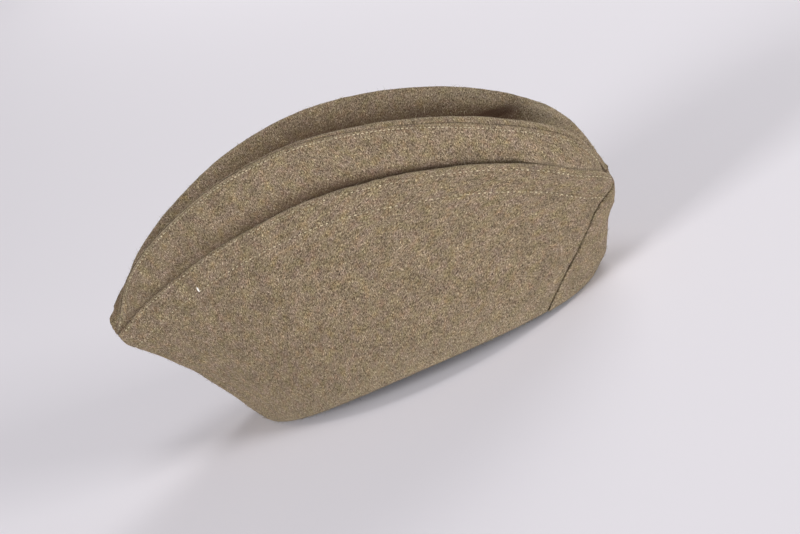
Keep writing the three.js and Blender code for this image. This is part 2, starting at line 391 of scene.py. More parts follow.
def curtainPiece(name, aroundAt, depths, columns, seed):
    # aroundAt gives each column's place at each height; depths gives the outer and inner face
    a, b, c = profile(curtain["cloth"] / 2, curtain["close"], curtain["step"], 30, 12)
    q = columns[None, :]
    share = np.clip(a + b / 100.0, 0.0, 1.0) + 0 * q  # a first guess, made exact by the loop below
    turning = (a == 1) & (c > 0) & (c < 1)
    for _ in range(4):
        around = aroundAt(q, share)
        front = ease((sideOf(around) - crown["front"]["from"]) / crown["front"]["over"])
        line = around * curtain["perAround"]
        wander = layeredNoise(line, 0 * line, waves["fold"], seed + 7)
        top = topOf(around) + wander * (1 - 0.8 * front) - 0.85 * b * turning * front
        high = a * top + b
        share = np.clip(high / top, 0.0, 1.0)
    below = top - high
    side, wall = sideOf(around), wallAt(around)
    outer, inner = depths(q, share)
    halfway = np.linspace(around.min(), around.max(), 900)
    relief = 0.0
    for row in (stitching["edge"], stitching["hem"]):
        length = stitchLine(halfway, row, topOf, noDepth)
        relief = relief + stitchRelief(around, below, row, np.interp(around, halfway, length), length)
    relief = relief + stitching["roll"] * bell(below, 1.7, 1.4)
    along = np.interp(around, halfway, arcLength(place(halfway, 0.5 + 0 * halfway, 0.0)))
    relief = relief + layeredNoise(along, below, waves["cloth"], seed)
    fromBack = np.abs(place(around, share * top / wall, outer)[..., 1])
    atBack = (side < 0.3) * bell(fromBack, 0.0, curtain["seam"]["wide"])
    relief = relief * (1 - atBack) - curtain["seam"]["depth"] * atBack
    relief = relief * ease(share * top / 6.0)
    grid = place(around, high / wall, mix(outer - relief, inner, c))
    keep = np.where(np.mod(around, 2.0) > 1, backGap, -backGap)
    held = np.where(keep > 0, np.maximum(grid[..., 1], keep), np.minimum(grid[..., 1], keep))
    grid[..., 1] = np.where(side < 0.1, held, grid[..., 1])
    # painted highlight along the top fold's edge and a lighter band along the rim, which also make the nap
    # denser
    wear = 0.35 * bell(below, 0.0, 1.6) + 0.3 * bell(high, 0.0, 2.0) + 0.35 * bell(high, 0.0, 14.0)
    # painted shade: in the lap line's groove, on the inner half of the top fold's round towards the middle of
    # the side, and at the fold's edge towards the back
    deep = np.clip(outer / curtain["lapSink"], 0, 1) + 0 * below
    deep = deep + 0.6 * ease((c - 0.1) / 0.3) * turning * bell(side, 0.55, 0.17)
    deep = deep + 0.22 * bell(below, -0.4, 1.1) * bell(side, 0.33, 0.16)
    layers = {"wear": wear, "nap": (c < 0.9) * (1 - np.clip(deep, 0, 1)), "deep": deep}
    return loopMesh(name, grid, along[len(a) // 3], layers)


lapShare = 0.955  # the part of the right curtain's columns that lies before the lap
# columns near the lap, in millimetres from it
lapColumns = [-1.9, -1.5, -1.15, -0.85, -0.6, -0.35, -0.15, 0.0, 0.4, 1.0, 2.0, 4.0, 7.0, 11.0]
lapReach = 12.0  # the underlap ends this far from it


def rightAround(q, share):
    seam = lapAt(share)
    under = seam + (q - lapShare) / (1 - lapShare) * curtain["underlap"] * 0.9
    return np.where(q < lapShare, mix(0.001, seam, q / lapShare), under)


def rightDepths(q, share):
    # the cloth drops to a thin underlap at the lap line
    before = (lapShare - q) / lapShare * curtain["rightLength"]
    outer = curtain["lapSink"] * (1 - ease(before / 0.8))
    return outer + 0.0 * share, curtain["cloth"] + 0.0 * share


def leftAround(q, share):
    return mix(lapAt(share) + curtain["lapGap"], 1.999, q)


def leftDepths(q, share):
    # pressed thin over the right end, then sinking back to the envelope; its end is a rounded fold
    lapEnd = (curtain["underlap"] + 0.01) / 1.2
    thin = 1 - ease((q - lapEnd) / 0.02)
    outer = -curtain["lapRise"] * (1 - ease((q - lapEnd) / curtain["lapBlend"]))
    inner = mix(curtain["cloth"], curtain["cloth"] - curtain["lapCloth"] - curtain["layerGap"], thin)
    rounded = np.clip(q * curtain["leftLength"] / curtain["endRound"], 0, 1)
    turn = np.sqrt(np.clip(1 - (1 - rounded) ** 2, 0.02, 1))
    middle = (outer + inner) / 2
    return mix(middle, outer, turn) + 0 * share, mix(middle, inner, turn) + 0 * share


def makeCurtains():
    shown = spread(curtain["rightCount"], curtain["spacing"])
    length = curtain["rightLength"]
    shown = shown[shown < 1 + lapColumns[0] / length] * lapShare
    before = [lapShare * (1 + d / length) for d in lapColumns if d < 0]
    lapping = before + [lapShare + d / lapReach * (1 - lapShare) for d in lapColumns if d >= 0]
    columns = np.concatenate([shown, lapping, [1.0]])
    right = curtainPiece("curtainRight", rightAround, rightDepths, columns, seed=11)
    spaced = spread(curtain["leftCount"], curtain["spacing"], pack=1.4)
    left = curtainPiece("curtainLeft", leftAround, leftDepths, spaced, seed=23)
    return right, left


crown = {
    "cloth": 2.0,
    "lip": [(0.0, 3.6), (0.1, 2.8), (0.17, 0.8), (0.24, 0.35), (0.44, 0.35), (0.6, 2.2), (0.75, 3.4)],
    "shade": {  # painted shadow just above the curtain, from the back to the front
        "side": [0.0, 0.15, 0.25, 0.33, 0.42, 0.53, 0.61, 0.68, 0.745, 0.8, 1.0],
        "depth": [0.2, 0.32, 0.28, 0.42, 0.6, 0.94, 0.9, 0.84, 0.6, 0.2, 0.0],
        "reach": [3.0, 3.4, 5.0, 7.0, 7.4, 5.2, 4.2, 2.9, 0.9, 1.0, 1.0],
    },
    "seamGap": 0.08,
    "layerGap": 0.5,
    "puff": 1.5,
    "tuck": {"depth": 2.3, "fade": 1.2, "deepest": 0.66, "long": 0.2},
    "front": {"from": 0.745, "over": 0.07, "rise": 0.3, "proud": 0.1},
    "rear": {"from": 0.8, "over": 0.45, "rise": 3.0, "start": 5.5},
    "close": 32.0,
    "step": 0.66,
    "spacing": 0.76,
    "count": 350.0,
}


def crownTopLine(around):
    return wallAt(around) - belowAt(crown["lip"], around) - crown["seamGap"]


def crownDepth(around, up):
    # under the curtain the side panel lies inside it, above it the panel comes out to the ridge
    side = sideOf(around)
    edge = edgeUp(side)
    lean = curtain["cloth"] + crown["layerGap"] + readRows(edgeRows, "standOff", side) * ease(up / edge)
    shown = np.clip((up - edge) / (1 - edge), 0, 1)
    puff = crown["puff"] * np.sin(math.pi * shown**0.6)
    tuck = crown["tuck"]["depth"] * bell(side, crown["tuck"]["deepest"], crown["tuck"]["long"])
    tuck = tuck * ease(side / 0.12) * ease((1 - side) / 0.12)
    above = (up - edge) * wallHeight(side)
    sunk = tuck * np.exp(-np.maximum(above, 0) / crown["tuck"]["fade"]) * ease(up / edge)
    # towards the front the panel comes out flush with the curtain close above its edge, and at the
    # rear it does so more softly
    front, rear = crown["front"], crown["rear"]
    flush = ease((side - front["from"]) / front["over"]) * ease((0.98 - side) / 0.06)
    proud = 0.1 + front["proud"] * np.exp(-np.maximum(above, 0) / 6)
    full = 0.9 + proud * ease((above + 0.3) / 1.2)
    full = full * (1 - np.exp(-np.maximum(above + 1.5, 0) / front["rise"]))
    soft = ease((rear["from"] - side) / rear["over"]) * ease((above + 8) / 5)
    soft = soft * (1 - np.exp(-np.maximum(above + rear["start"], 0) / rear["rise"]))
    out = np.maximum(mix(shown, np.maximum(full, shown), flush), soft)
    return lean * (1 - out) - puff + sunk * (1 - flush)


def crownSide(name, left, seed):
    a, b, c = profile(0.25, crown["close"], crown["step"], 14, 10)
    q = spread(crown["count"], crown["spacing"])[None, :]
    around = (2 - mix(0.001, 0.999, q) if left else mix(0.001, 0.999, q)) + 0 * a
    side, height = sideOf(around), wallAt(around)
    high = a * crownTopLine(around) + b
    up = high / height
    below = height - high
    halfway = np.linspace(around.min(), around.max(), 800)
    row = stitching["ridge"]
    lip = belowAt(crown["lip"], around)
    length = stitchLine(halfway, row, wallAt, crownDepth)
    relief = stitchRelief(around, below, row, np.interp(around, halfway, length), length)
    relief = relief - 0.3 * bell(below, lip, 1.3) * mix(0.3, 1.0, ease((side - 0.2) / 0.3))
    along = np.interp(around, halfway, length)
    relief = relief + 0.7 * layeredNoise(along, below, waves["cloth"], seed) * ease((below - lip) / 3)
    grid = place(around, up, crownDepth(around, up) - relief * (1 - c) + crown["cloth"] * c)
    grid[..., 1] = np.maximum(grid[..., 1], backGap) if left else np.minimum(grid[..., 1], -backGap)
    over = np.maximum(high - topOf(around), 0.0)
    front = ease((side - crown["front"]["from"]) / crown["front"]["over"])
    # painted highlight along the ridge crest, strongest towards the back, and painted light just above the
    # curtain's edge at the front; both also make the nap denser
    wear = bell(below, lip, 1.2) * mix(1.0, 0.25, ease((side - 0.25) / 0.3))
    wear = wear + 0.8 * front * np.exp(-over)
    # painted shadow on the panel just above the curtain, and painted shade in the seam groove under the ridge
    shade = crown["shade"]
    depth, reach = (np.interp(side, shade["side"], shade[key]) for key in ("depth", "reach"))
    deep = depth * bell(over, 0.0, reach)
    deep = deep + 0.15 * bell(below, lip + 0.3, 0.8) * (0.3 + 0.7 * ease((side - 0.3) / 0.4))
    layers = {"wear": wear, "nap": (c < 0.5) * (below < 45) * np.clip(1 - deep, 0, 1), "deep": deep}
    return loopMesh(name, grid, along[0], layers)


gusset = {
    "from": 0.046,
    "to": 0.993,
    "rounded": 0.05,
    "crest": 0.9,
    "power": 1.7,
    "tail": 2.0,
    "bead": 0.1,
    "spacing": 0.84,
}
gussetNose = {  # its rear end curls down into the curtain
    "long": 3.2,
    "lean": (-0.3, 0.0, -1.0),
    "curl": 0.12,
    "full": 1.4,
    "drawn": 2.0,
    "arched": 1.6,
}
gussetTip = (1.3, 0.0, -1.9)  # how far its front end runs on, under the curtain
valleyShade = {"depth": 0.92, "from": 1.0, "over": 0.42}  # painted shade low in the valley
# (strength, around, wide) on the valley's left wall: painted light in front, painted light high up, painted
# shade behind
valleyLightAndShade = [(0.6, 0.85, 0.045), (0.35, 0.72, 0.06), (0.24, 0.47, 0.09)]
valleyFold = {  # a soft fold standing off the valley's left wall, steep towards the back
    "around": 0.8,
    "slant": 0.165,
    "across": 0.74,
    "wide": 0.17,
    "height": 3.4,
    "steep": 0.024,
    "gentle": 0.06,
}
endSteps = [0.99, 0.93, 0.8, 0.6, 0.4, 0.2]  # the closing columns' places from the end (0) to its tip (1)


def smoothRows(controls, parts):
    # Catmull-Rom through rows of points, `parts` steps from each row to the next
    first, last = 2 * controls[0] - controls[1], 2 * controls[-1] - controls[-2]
    knots = [first] + list(controls) + [last]
    rows = []
    for k in range(len(controls) - 1):
        p0, p1, p2, p3 = knots[k : k + 4]
        for q in np.arange(parts) / parts:
            square = (2 * p0 - 5 * p1 + 4 * p2 - p3) * q**2
            rows.append(p1 + 0.5 * ((p2 - p0) * q + square + (3 * p1 - p0 - 3 * p2 + p3) * q**3))
    return rows + [controls[-1]]


def closeEnd(column, away):
    # the closing columns beyond an end, drawn in around its middle
    middle = column.mean(axis=0, keepdims=True)
    return middle + (column - middle) * (1 - away**3.2) ** 0.4


def crownTop():
    around = mix(gusset["from"], gusset["to"], spread(crown["count"], gusset["spacing"]))
    ridge = ridgePoint(around)
    halfGap = -ridge[:, 1]
    ahead = ridgePoint(around + 0.01) - ridgePoint(around - 0.01)
    above = unit(np.stack([-ahead[:, 2], 0 * around, ahead[:, 0]], -1))
    height = wallHeight(around)
    swell = ease((around - gusset["from"] + 0.02) / gusset["rounded"])
    valley = readRows(ridgeRows, "valley", around) * swell
    middle = ridge * np.array([1.0, 0.0, 1.0])
    along = arcLength(ridge)

    def at(y, w):
        point = middle + above * np.broadcast_to(w, around.shape)[:, None]
        return point + np.stack([0 * around, y + 0 * around, 0 * around], -1)

    def low(across):
        return -valley * (1 - np.abs(across) ** gusset["power"])

    def outside(below, depth):
        return place(around, 1 - below / height, depth + 0 * around)

    lip = belowAt(crown["lip"], around)
    edge = [
        outside(lip + gusset["tail"], 2.6),
        outside(lip + 0.5, 2.3),
        outside(lip + 0.05, 1.1),
        outside(lip - 0.1, 0.25),
        outside(lip * 0.64, -gusset["bead"] * 0.6),
        outside(lip * 0.36, -gusset["bead"] * 0.4),
        at(-halfGap + 0.15, -0.25),
        at(-halfGap + 0.55, -0.1),
    ]
    right = smoothRows(edge, 3)
    wall = np.maximum(halfGap - gusset["crest"], 0.12)
    across = -np.cos(np.linspace(0, math.pi, 62)) * 0.25 + np.linspace(-1, 1, 62) * 0.75
    trough = [at(f * wall, low(f)) for f in across]
    flip = np.array([1.0, -1.0, 1.0])
    upper = np.stack(right[:-1] + trough + [row * flip for row in right[:-1]][::-1])

    inset = halfGap - crown["cloth"]
    belly = []
    for f in np.linspace(-1, 1, 17):
        slope = (low(f + 0.01) - low(f - 0.01)) / (0.02 * np.maximum(wall, 1.0))
        belly.append(at(f * inset, np.minimum(low(f) - crown["cloth"] * np.hypot(1, slope), -lip)))
    tail = outside(lip + gusset["tail"], 3.9)
    under = np.stack([tail] + belly + [tail * flip])

    rows = len(upper)
    normal = unit(np.cross(np.gradient(upper, axis=1), np.gradient(upper, axis=0)))
    normal *= np.sign((normal[rows // 2] * above).sum())
    u, v = along[None, :], arcLength(upper[:, upper.shape[1] // 2])[:, None]
    inside = ease((np.minimum(np.arange(rows), rows - 1 - np.arange(rows)) - 18) / 14)[:, None]
    relief = inside * layeredNoise(u, v, waves["valley"], 61)
    beyond = np.ones(len(right) - 1)
    shares = np.concatenate([-beyond, across, beyond])[:, None]
    slanted = valleyFold["slant"] * (shares - valleyFold["across"])
    crease = around[None, :] - valleyFold["around"] - slanted
    folded = bell(shares, valleyFold["across"], valleyFold["wide"])
    reach = np.where(crease < 0, valleyFold["steep"], valleyFold["gentle"])
    relief = relief + valleyFold["height"] * bell(crease, 0.0, reach) * folded
    relief = relief + 0.16 * softNoise(u, v, 5.5, 63) + 0.07 * softNoise(u, v, 2.3, 64)
    # the lower layer lies close beneath, so hollows stay shallow
    relief = np.where(relief < 0, 1.3 * np.tanh(relief / 1.3), relief)
    ends = ease(along / 8) * ease((along[-1] - along) / 8)
    upper = upper + normal * (relief * ends)[..., None]
    grid = np.concatenate([upper, under[::-1]])
    drawn = gussetNose["drawn"] * bell(along, 7.4, 4.0) - gussetNose["full"] * bell(along, 0.0, 2.3)
    drawn = drawn - gussetNose["arched"] * bell(along, 21.0, 8.0)
    width = np.abs(grid[..., 1]) / np.abs(grid[..., 1]).max(axis=0)
    grid[..., 0] += drawn * (1 - width**2)
    away = np.array(endSteps)[None, :, None]
    nose = closeEnd(grid[:, :1], away) + away * gussetNose["long"] * np.array(gussetNose["lean"])
    nose[..., 0] += gussetNose["curl"] * gussetNose["long"] * away[..., 0] ** 2
    back = away[:, ::-1]
    tip = closeEnd(grid[:, -1:], back) + back * np.array(gussetTip)
    grid = np.concatenate([nose, grid, tip], axis=1)
    ahead = along[-1] + back[0, :, 0] * np.linalg.norm(gussetTip)
    along = np.concatenate([-away[0, :, 0] * gussetNose["long"], along, ahead])
    count = len(grid)
    crest = np.zeros((count, 1))
    crest[16 : len(right)] = crest[rows - len(right) : rows - 16] = 1.0
    nap = np.zeros((count, 1))
    nap[7 : rows - 7] = 1.0
    # painted shade low in the valley, fading towards its front and its back end, and behind the fold's steep
    # side
    low = ease((valleyShade["from"] - np.abs(shares)) / valleyShade["over"])
    low = low * (1 - 0.85 * ease((around - 0.775) / 0.085)) * ease(around / 0.24)
    behind = 0.5 * bell(crease, -valleyFold["steep"], valleyFold["steep"]) * folded
    kept = valleyShade["depth"] * low + behind
    deep = np.zeros((count, grid.shape[1]))
    extra = away.shape[1]
    deep[:rows] = np.pad(kept, ((0, 0), (extra, extra)), mode="edge")
    # painted shade in the seam grooves along both edges
    deep[:7] = deep[rows - 7 : rows] = 0.12
    nap = nap * np.clip(1 - deep, 0, 1)
    # painted highlight along both crests, strongest at the back, then painted light and painted shade on the
    # valley's left wall
    rubbedAndLit = np.pad(mix(1.0, 0.35, ease((around - 0.2) / 0.3)), extra, mode="edge")
    wear = crest * rubbedAndLit + 0 * deep
    leftWall = ease((shares - 0.3) / 0.3) * (1 - crest[:rows])
    front, high, rear = (strength * bell(around, at, wide) for strength, at, wide in valleyLightAndShade)
    wear[:rows, extra:-extra] += (front + high * ease((shares - 0.7) / 0.2)) * leftWall
    deep[:rows, extra:-extra] += rear * leftWall
    return loopMesh("crownTop", grid, along, {"wear": wear, "nap": nap, "deep": deep})


curtainRight, curtainLeft = makeCurtains()
crownSideRight = crownSide("crownSideRight", False, seed=37)
crownSideLeft = crownSide("crownSideLeft", True, seed=41)
crownTopPiece = crownTop()


# Materials

wool = {
    "tones": [  # (place on the ramp, colour), from the deepest gaps to the lit fibre tips
        (0.0, (0.055, 0.038, 0.023)),
        (0.3, (0.122, 0.088, 0.054)),
        (0.5, (0.186, 0.14, 0.09)),
        (0.7, (0.27, 0.212, 0.142)),
        (1.0, (0.45, 0.37, 0.255)),
    ],
    # (noise scale per metre, offset, where the tint starts, where it is full, what it multiplies by)
    "tints": [
        (170.0, 0.0, 0.38, 0.74, (1.02, 0.98, 1.09)),
        (210.0, 3.1, 0.5, 0.8, (1.07, 0.98, 0.92)),
        (150.0, 7.7, 0.42, 0.74, (0.99, 1.02, 0.88)),
    ],
    "clouds": [(95.0, 0.83, 1.17), (380.0, 0.82, 1.18)],  # (noise scale per metre, darkest, lightest)
    # the pale colour that rubbed wear and painted highlight mix towards
    "rubbedAndLit": (0.34, 0.285, 0.2),
    # the dark brown that painted shade mixes towards
    "paintedShadeColour": (0.044, 0.022, 0.012),
    "sheen": (0.62, 0.52, 0.37),
    "fibreWidth": 1900.0,
    "fibreLength": 900.0,
    "turns": (0.0, 0.8, -0.7),  # each layer of fibre, from the piece's own turn
    "contrast": (1.12, 1.88),
    "curl": (420.0, 0.002),  # (noise scale, reach in metres)
    "fluff": 2600.0,
    "bump": (0.7, 0.0004),  # (strength, depth in metres)
}


def addNode(tree, kind, links=(), **settings):
    # a value may be a plain one, a socket, or a node, which stands for its first output
    node = tree.nodes.new(kind)
    for key, value in settings.items():
        setattr(node, key, value)
    for socket, value in links:
        if isinstance(value, bpy.types.Node):
            value = value.outputs[0]
        if isinstance(value, bpy.types.NodeSocket):
            tree.links.new(value, node.inputs[socket])
        else:
            node.inputs[socket].default_value = value
    return node


def noiseNode(tree, where, scale, detail=2.0, roughness=0.5, flat=True):
    sizes = [("Vector", where), ("Scale", scale), ("Detail", detail), ("Roughness", roughness)]
    return addNode(tree, "ShaderNodeTexNoise", sizes, noise_dimensions="2D" if flat else "3D")


def vectorMaths(tree, kind, a, b):
    socket = "Scale" if kind == "SCALE" else 1
    return addNode(tree, "ShaderNodeVectorMath", [(0, a), (socket, b)], operation=kind)


def mixColour(tree, share, colour, other, blend="MIX"):
    links = [("Factor", share), ("A", colour), ("B", (*other, 1))]
    return addNode(tree, "ShaderNodeMix", links, data_type="RGBA", blend_type=blend).outputs["Result"]


def maths(tree, kind, a, b=0.0, clamp=False):
    return addNode(tree, "ShaderNodeMath", [(0, a), (1, b)], operation=kind, use_clamp=clamp)


def times(tree, a, b):
    return maths(tree, "MULTIPLY", a, b)


def remap(tree, value, start, full, low=0.0, high=1.0):
    sizes = [("Value", value), ("From Min", start), ("From Max", full), ("To Min", low), ("To Max", high)]
    return addNode(tree, "ShaderNodeMapRange", sizes)


def bumpNode(tree, height, strength, distance):
    sizes = [("Height", height), ("Strength", strength), ("Distance", distance)]
    return addNode(tree, "ShaderNodeBump", sizes)


def woolMaterial(name, turn, bright):
    # heather melton: short fibres laid three ways, dyed in soft patches, paler on folds and edges where
    # rubbed and with painted highlight, and darker with painted shade in creases and hollows
    material = bpy.data.materials.new(name)
    material.use_nodes = True
    tree = material.node_tree
    tree.nodes.clear()
    cloth = addNode(tree, "ShaderNodeUVMap", uv_map="clothMap").outputs["UV"]
    curl = noiseNode(tree, cloth, wool["curl"][0], detail=1.0, flat=False).outputs["Color"]
    centred = vectorMaths(tree, "SUBTRACT", curl, (0.5, 0.5, 0.5))
    warped = vectorMaths(tree, "ADD", cloth, vectorMaths(tree, "SCALE", centred, wool["curl"][1]))
    total = None
    for k, angle in enumerate(wool["turns"]):
        links = [("Vector", warped), ("Rotation", (0, 0, turn + angle))]
        links.append(("Location", (0.13 * k, 0.07 * k, 0)))
        links.append(("Scale", (wool["fibreWidth"], wool["fibreLength"], 1)))
        fibre = noiseNode(tree, addNode(tree, "ShaderNodeMapping", links), 1.0, roughness=0.6)
        total = fibre if total is None else maths(tree, "ADD", total, fibre)
    tone = remap(tree, total, *wool["contrast"])
    ramp = addNode(tree, "ShaderNodeValToRGB", [("Fac", tone)])
    stops = ramp.color_ramp.elements
    while len(stops) < len(wool["tones"]):
        stops.new(0.5)
    for stop, (at, shade) in zip(stops, wool["tones"]):
        stop.position = at
        stop.color = (*[channel * bright for channel in shade], 1)
    colour = ramp
    for scale, offset, start, full, tint in wool["tints"]:
        patch = noiseNode(tree, vectorMaths(tree, "ADD", warped, (offset, offset, 0)), scale, detail=1.0)
        colour = mixColour(tree, remap(tree, patch, start, full), colour, tint, "MULTIPLY")
    for scale, darkest, lightest in wool["clouds"]:
        cloud = noiseNode(tree, cloth, scale, detail=3.0)
        colour = vectorMaths(tree, "SCALE", colour, remap(tree, cloud, 0.25, 0.75, darkest, lightest))
    wear, deep = (
        addNode(tree, "ShaderNodeAttribute", attribute_name=key, attribute_type="GEOMETRY").outputs["Fac"]
        for key in ("wear", "deep")
    )
    # paler where wear is high: rubbed wear on folds, and painted highlight and painted light on crests,
    # edges, the rim and the valley's front
    colour = mixColour(tree, times(tree, wear, tone), colour, wool["rubbedAndLit"])
    # painted shade: the cloth darkens towards a dark brown where deep is high, in creases, gaps and hollows
    colour = mixColour(tree, maths(tree, "MULTIPLY", deep, 0.92, clamp=True), colour, wool["paintedShadeColour"])
    bump = bumpNode(tree, maths(tree, "ADD", tone, noiseNode(tree, cloth, wool["fluff"])), *wool["bump"])
    finish = [
        ("Base Color", colour),
        ("Normal", bump),
        ("Roughness", 0.95),
        ("Specular IOR Level", 0.12),
        ("Sheen Weight", 0.2),
        ("Sheen Roughness", 0.45),
        ("Sheen Tint", (*wool["sheen"], 1)),
    ]
    shader = addNode(tree, "ShaderNodeBsdfPrincipled", finish)
    addNode(tree, "ShaderNodeOutputMaterial", [("Surface", shader)])
    return material


def plainMaterial(name, colour, roughness):
    material = bpy.data.materials.new(name)
    material.use_nodes = True
    shader = material.node_tree.nodes["Principled BSDF"]
    shader.inputs["Base Color"].default_value = (*colour, 1)
    shader.inputs["Roughness"].default_value = roughness
    return material


thread = {
    "dark": (0.16, 0.125, 0.07),
    "light": (0.74, 0.65, 0.44),
    "long": 1.15,
    "thick": 0.5,
    "rise": 0.38,
    "start": 0.035,
    "clear": 0.012,
    "dye": 290.0,  # noise scales per metre
    "twist": 7000.0,
    "bump": (0.5, 0.0001),
}


def threadMaterial():
    # cotton thread: waxy, a little uneven in its dye along each stitch
    material = plainMaterial("cottonThread", thread["light"], 0.6)
    tree = material.node_tree
    shader = tree.nodes["Principled BSDF"]
    spots = addNode(tree, "ShaderNodeTexCoord").outputs["Object"]
    dye = noiseNode(tree, spots, thread["dye"], detail=4.0, flat=False)
    colour = mixColour(tree, remap(tree, dye, 0.3, 0.7), (*thread["dark"], 1), thread["light"])
    tree.links.new(colour, shader.inputs["Base Color"])
    twist = noiseNode(tree, spots, thread["twist"], flat=False)
    tree.links.new(bumpNode(tree, twist, *thread["bump"]).outputs[0], shader.inputs["Normal"])
    return material


def newTree(name, sockets):
    # a Geometry Nodes tree with a geometry input, the named inputs and a geometry output
    tree = bpy.data.node_groups.new(name, "GeometryNodeTree")
    tree.interface.new_socket("Geometry", in_out="INPUT", socket_type="NodeSocketGeometry")
    for label, kind in sockets:
        tree.interface.new_socket(label, in_out="INPUT", socket_type=kind)
    tree.interface.new_socket("Geometry", in_out="OUTPUT", socket_type="NodeSocketGeometry")
    return tree, tree.nodes.new("NodeGroupInput").outputs


def vector(tree, x=0.0, y=0.0, z=0.0):
    return addNode(tree, "ShaderNodeCombineXYZ", [("X", x), ("Y", y), ("Z", z)])


def positionOf(tree):
    return addNode(tree, "ShaderNodeSeparateXYZ", [(0, addNode(tree, "GeometryNodeInputPosition"))]).outputs


def attributeOf(tree, name, kind="FLOAT"):
    return addNode(tree, "GeometryNodeInputNamedAttribute", [("Name", name)], data_type=kind)


def stitchTree(material):
    # one arched stitch, repeated evenly along a path of points
    sizes = [(label, "NodeSocketFloat") for label in ("Long", "Thick", "Rise")]
    tree, given = newTree("stitches", [("Count", "NodeSocketInt")] + sizes)
    half = times(tree, given["Long"], 0.5)
    both = [("Start", vector(tree, times(tree, given["Long"], -0.5))), ("End", vector(tree, half))]
    span = addNode(tree, "GeometryNodeCurvePrimitiveLine", both)
    fine = addNode(tree, "GeometryNodeResampleCurve", [("Curve", span), ("Count", 6)])
    share = maths(tree, "DIVIDE", positionOf(tree)["X"], half)
    arch = maths(tree, "SUBTRACT", 1.0, times(tree, 2.0, times(tree, share, share)))
    lift = vector(tree, z=times(tree, arch, given["Rise"]))
    bent = addNode(tree, "GeometryNodeSetPosition", [("Geometry", fine), ("Offset", lift)])
    circle = [("Resolution", 6), ("Radius", times(tree, given["Thick"], 0.5))]
    section = addNode(tree, "GeometryNodeCurvePrimitiveCircle", circle)
    solid = [("Curve", bent), ("Profile Curve", section), ("Fill Caps", True)]
    stitch = addNode(tree, "GeometryNodeCurveToMesh", solid)
    line = addNode(tree, "GeometryNodeMeshToCurve", [("Mesh", given["Geometry"])])
    row = addNode(tree, "GeometryNodeResampleCurve", [("Curve", line), ("Count", given["Count"])])
    axes = [("Primary Axis", attributeOf(tree, "clothNormal", "FLOAT_VECTOR"))]
    axes.append(("Secondary Axis", addNode(tree, "GeometryNodeInputTangent")))
    turn = addNode(tree, "FunctionNodeAxesToRotation", axes, primary_axis="Z", secondary_axis="X")
    copies = [("Points", row), ("Instance", stitch), ("Rotation", turn)]
    placed = addNode(tree, "GeometryNodeInstanceOnPoints", copies)
    real = addNode(tree, "GeometryNodeRealizeInstances", [(0, placed)])
    dyed = addNode(tree, "GeometryNodeSetMaterial", [("Geometry", real), ("Material", material)])
    addNode(tree, "NodeGroupOutput", [("Geometry", dyed)])
    return tree


def grow(name, mesh, tree, **sizes):
    # runs a Geometry Nodes tree on a mesh and keeps what it makes as a plain mesh
    piece = bpy.data.objects.new(name, mesh)
    modifier = piece.modifiers.new("made", "NODES")
    modifier.node_group = tree
    for socket in tree.interface.items_tree:
        if socket.name in sizes:
            modifier[socket.identifier] = sizes[socket.name]
    bpy.context.scene.collection.objects.link(piece)
    made = finishedMesh(piece)
    piece.modifiers.clear()
    piece.data = made
    made.name = name
    for used in ("tone", "wear", "nap", "deep", "clothNormal"):
        if used in made.attributes:
            made.attributes.remove(made.attributes[used])
    print(f"{name}: {len(made.polygons)} faces")
    return piece


def stitchRow(name, cloth, row, topAt, depthAt, whole, ends, tree):
    # whole: the range that the cloth's own channel and holes were counted over
    # ends: where the stitches start and stop
    halfway = np.linspace(*whole, 900)
    length = stitchLine(halfway, row, topAt, depthAt)
    step = stitchStep(row, length)
    first, last = (np.interp(end, halfway, length) / step for end in ends)
    first, last = math.ceil(first), math.floor(last)
    at = np.interp(np.linspace(first * step, last * step, (last - first) * 3 + 1), length, halfway)
    up = (topAt(at) - belowAt(row["below"], at)) / wallAt(at)
    out = outward(at, up)
    start = toScene(place(at, up, depthAt(at, up)) + out * 6.0)
    corners = [v.co for v in cloth.data.vertices]
    ground = BVHTree.FromPolygons(corners, [f.vertices for f in cloth.data.polygons])
    found = [ground.ray_cast(Vector(p), Vector(-n)) for p, n in zip(start, out)]
    kept = [(hit[0], n) for hit, n in zip(found, out) if hit[0] is not None]
    path = bpy.data.meshes.new(name + "Path")
    path.from_pydata([p for p, _ in kept], [(k, k + 1) for k in range(len(kept) - 1)], [])
    path.attributes.new("clothNormal", "FLOAT_VECTOR", "POINT").data.foreach_set(
        "vector", np.array([n for _, n in kept], dtype=np.float32).ravel()
    )
    sizes = {label: thread[label.lower()] * mm for label in ("Long", "Thick", "Rise")}
    return grow(name, path, tree, Count=last - first + 1, **sizes)


def makeStitches():
    tree = stitchTree(threadMaterial())
    rows = {}
    ridgeEnds = (thread["start"] + 0.03, 0.975)
    for name, cloth, whole, turned in (
        ("ridgeStitchRight", crownSideRight, (0.001, 0.999), False),
        ("ridgeStitchLeft", crownSideLeft, (1.001, 1.999), True),
    ):
        ends = (2 - ridgeEnds[1], 2 - ridgeEnds[0]) if turned else ridgeEnds
        rows[name] = stitchRow(name, cloth, stitching["ridge"], wallAt, crownDepth, whole, ends, tree)
    lapTop, lapFoot = float(lapAt(np.array(1.0))), float(lapAt(np.array(0.0)))
    for label, row in (("Edge", stitching["edge"]), ("Hem", stitching["hem"])):
        share = np.array(1 - row["below"][-1][1] / 110)
        seam = float(lapAt(share))
        whole = (0.001, lapTop + curtain["underlap"] * 0.9)
        ends = (thread["start"], seam - thread["clear"])
        name = "curtain" + label + "StitchRight"
        rows[name] = stitchRow(name, curtainRight, row, topOf, noDepth, whole, ends, tree)
        whole = (lapFoot + curtain["lapGap"], 1.999)
        ends = (seam + 2 * thread["clear"], 2 - thread["start"])
        name = "curtain" + label + "StitchLeft"
        rows[name] = stitchRow(name, curtainLeft, row, topOf, noDepth, whole, ends, tree)
    return rows


